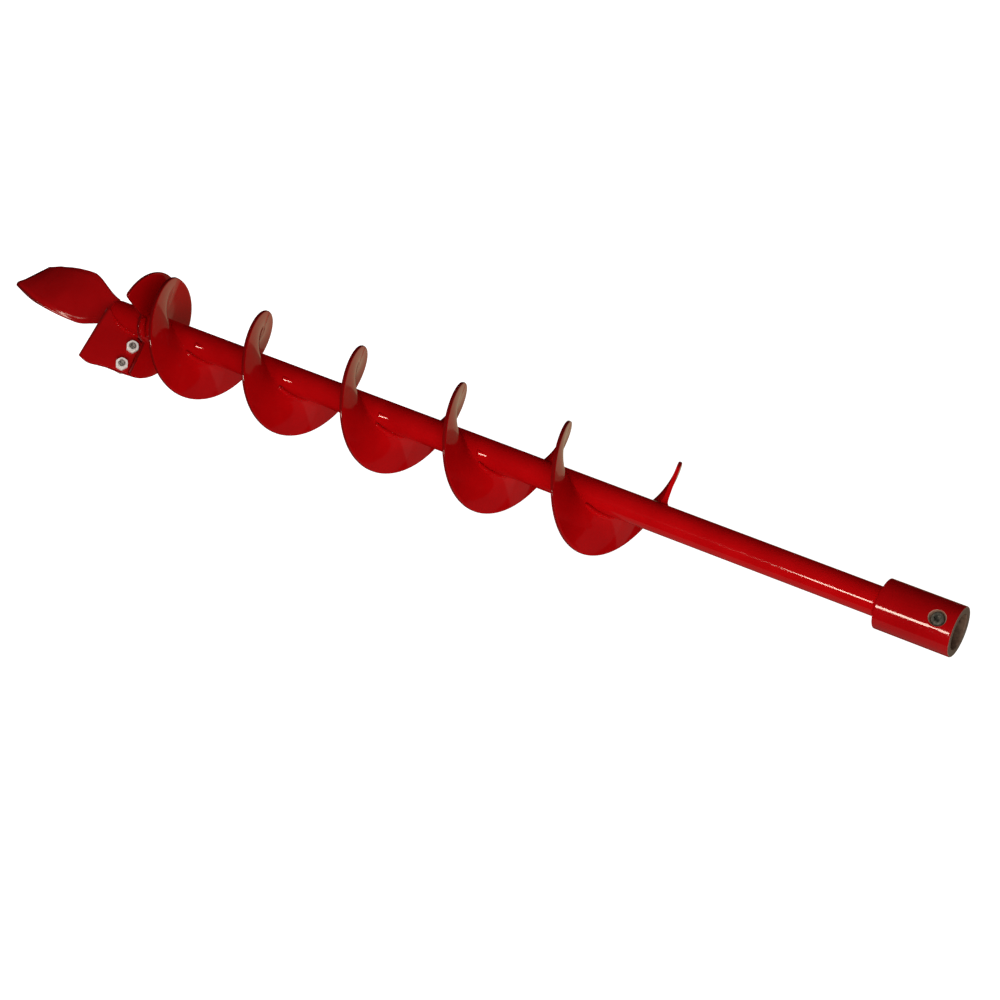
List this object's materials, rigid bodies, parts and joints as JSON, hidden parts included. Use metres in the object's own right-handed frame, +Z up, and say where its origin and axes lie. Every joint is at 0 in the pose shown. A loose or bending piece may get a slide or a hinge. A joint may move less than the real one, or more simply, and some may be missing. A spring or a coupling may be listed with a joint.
{
  "type": "ice auger drill bit",
  "caption": "Drill bit for a powered ice auger: tube shaft with a right-hand welded flight, bolted cutting blade, twisted fishtail point and a drive hub with a clamping set screw.",
  "frame": {"origin": "centre of the drive hub's open end, on the shaft's axis", "axes": "+Z up the shaft from the point to the hub, as the bit hangs in use; -Y is the side the set screw faces, within 11 degrees; +X completes a right-handed frame"},
  "size_m": [0.0786, 0.0762, 0.724],
  "materials": {
    "red_enamel": "gloss",
    "red_enamel_on_cutters": "gloss, thin at ground edges",
    "zinc_plated_steel": "bright zinc",
    "black_oxide_steel": "black oxide, oiled"
  },
  "bodies": {
    "bit": {"shaft_tube": "red_enamel", "drive_hub": "red_enamel", "hub_weld": "red_enamel", "flat_first_turn": "red_enamel", "flight_turn_1": "red_enamel", "flight_turn_2": "red_enamel", "flight_turn_3": "red_enamel", "flight_turn_4": "red_enamel", "flight_turn_5": "red_enamel", "root_weld_flat": "red_enamel", "root_weld_1": "red_enamel", "root_weld_2": "red_enamel", "root_weld_3": "red_enamel", "root_weld_4": "red_enamel", "root_weld_5": "red_enamel", "cutting_blade": "red_enamel_on_cutters", "blade_seat": "red_enamel", "blade_bolt_inner": "zinc_plated_steel", "blade_bolt_outer": "zinc_plated_steel", "blade_nut_inner": "zinc_plated_steel", "blade_nut_outer": "zinc_plated_steel", "fishtail_point": "red_enamel_on_cutters", "point_weld": "red_enamel"},
    "screw": {"set_screw": "black_oxide_steel"}
  },
  "joints": [
    {"name": "set_screw_travel", "type": "slide", "parent": "bit", "child": "screw", "axis": [-0.1908, -0.9816, 0], "range_m": [-0.003, 0.003]}
  ]
}
